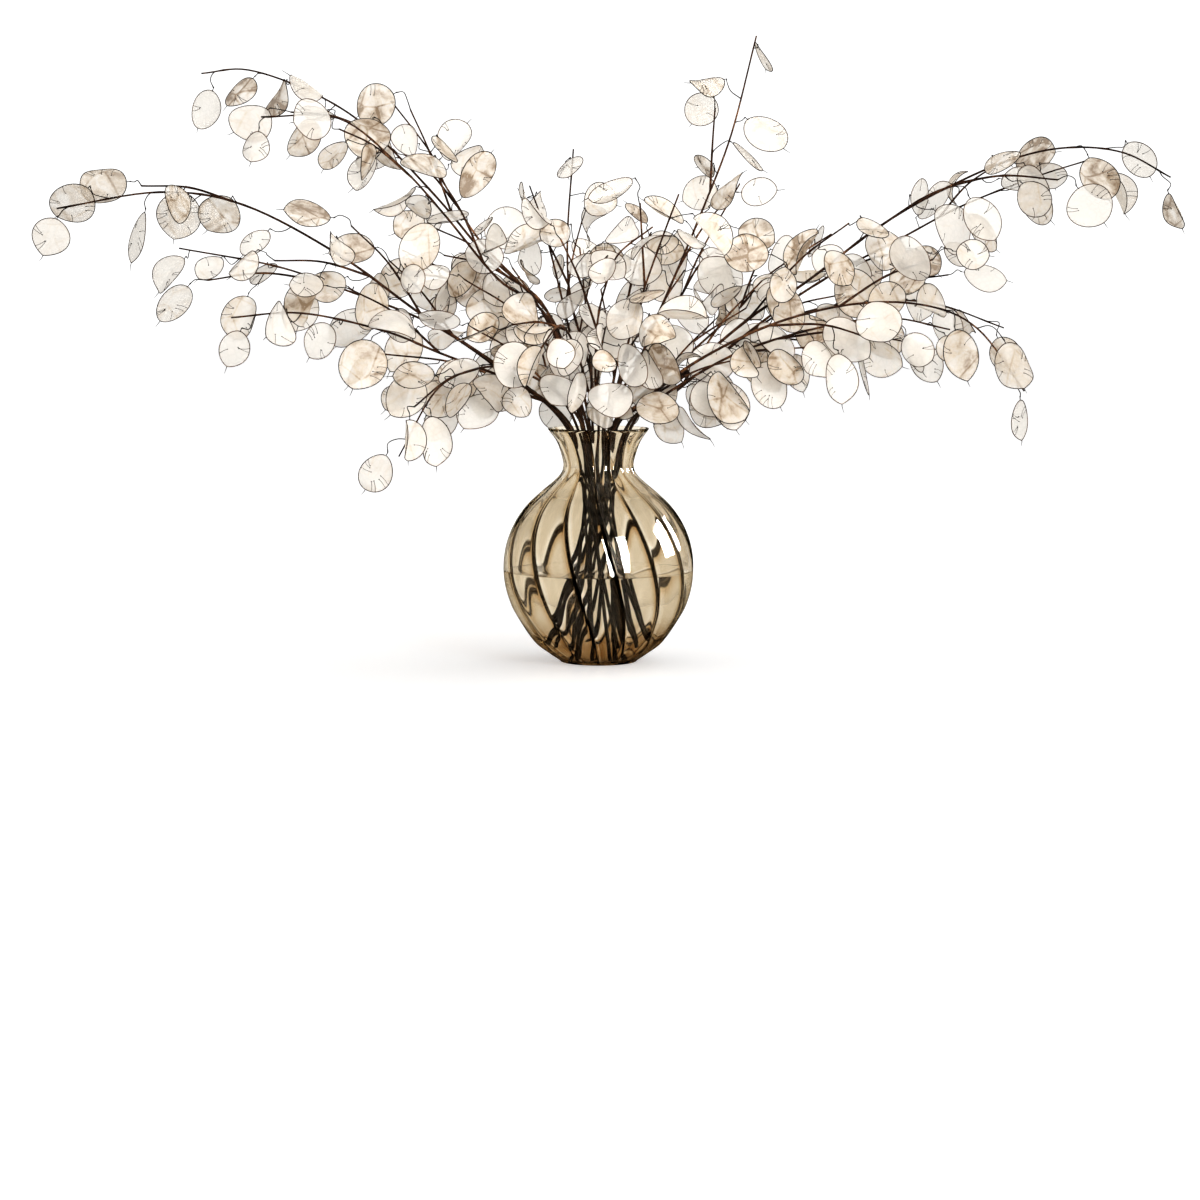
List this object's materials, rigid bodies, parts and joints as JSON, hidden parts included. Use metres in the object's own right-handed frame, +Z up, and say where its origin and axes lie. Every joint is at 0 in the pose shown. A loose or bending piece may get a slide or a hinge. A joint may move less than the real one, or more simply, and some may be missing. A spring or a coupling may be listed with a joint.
{
  "type": "vase of honesty seed pod stems",
  "caption": "Dried honesty stems with flat papery seed pods, spraying out of a round ribbed glass vase with water.",
  "frame": {"origin": "middle of the vase's foot, on the surface that it stands on", "axes": "+Z up out of the vase; +X along the long side of the spray; -Y towards the front of the bouquet"},
  "size_m": [1.1018, 0.6304, 0.6282],
  "materials": {
    "smoky_glass": "clear smoky amber glass, smooth and glossy, with shallow melon ribs that swirl gently down the belly",
    "vase_water": "clear still water",
    "dried_stem": "dried plant: pearly, translucent papery cream pods with thin brown rims on matt dark brown stems",
    "pod_skin": "pearly, translucent papery membrane, cream to greige, with cloudy veins",
    "pod_rim": "thin brown rim, stalk, beak and seed stalks of a dried pod, matt",
    "stem_bark": "matt dried stem, nearly black brown with lighter streaks"
  },
  "bodies": {
    "root": {"vase": "smoky_glass", "water": "vase_water", "stem_left_high_back": "dried_stem", "stem_left_high_front": "dried_stem", "stem_left_steep": "dried_stem", "stem_left_long": "dried_stem", "stem_left_back": "dried_stem", "stem_left_low": "dried_stem", "stem_left_droop": "dried_stem", "stem_middle_back": "dried_stem", "stem_middle_front": "dried_stem", "stem_middle_right": "dried_stem", "stem_tall": "dried_stem", "stem_tall_back": "dried_stem", "stem_right_steep": "dried_stem", "stem_right_long": "dried_stem", "stem_right_second": "dried_stem", "stem_right_back": "dried_stem", "stem_right_droop": "dried_stem", "stem_right_low": "dried_stem", "stem_front": "dried_stem", "stem_back": "dried_stem", "stem_back_left": "dried_stem", "stem_back_middle": "dried_stem"}
  },
  "joints": []
}
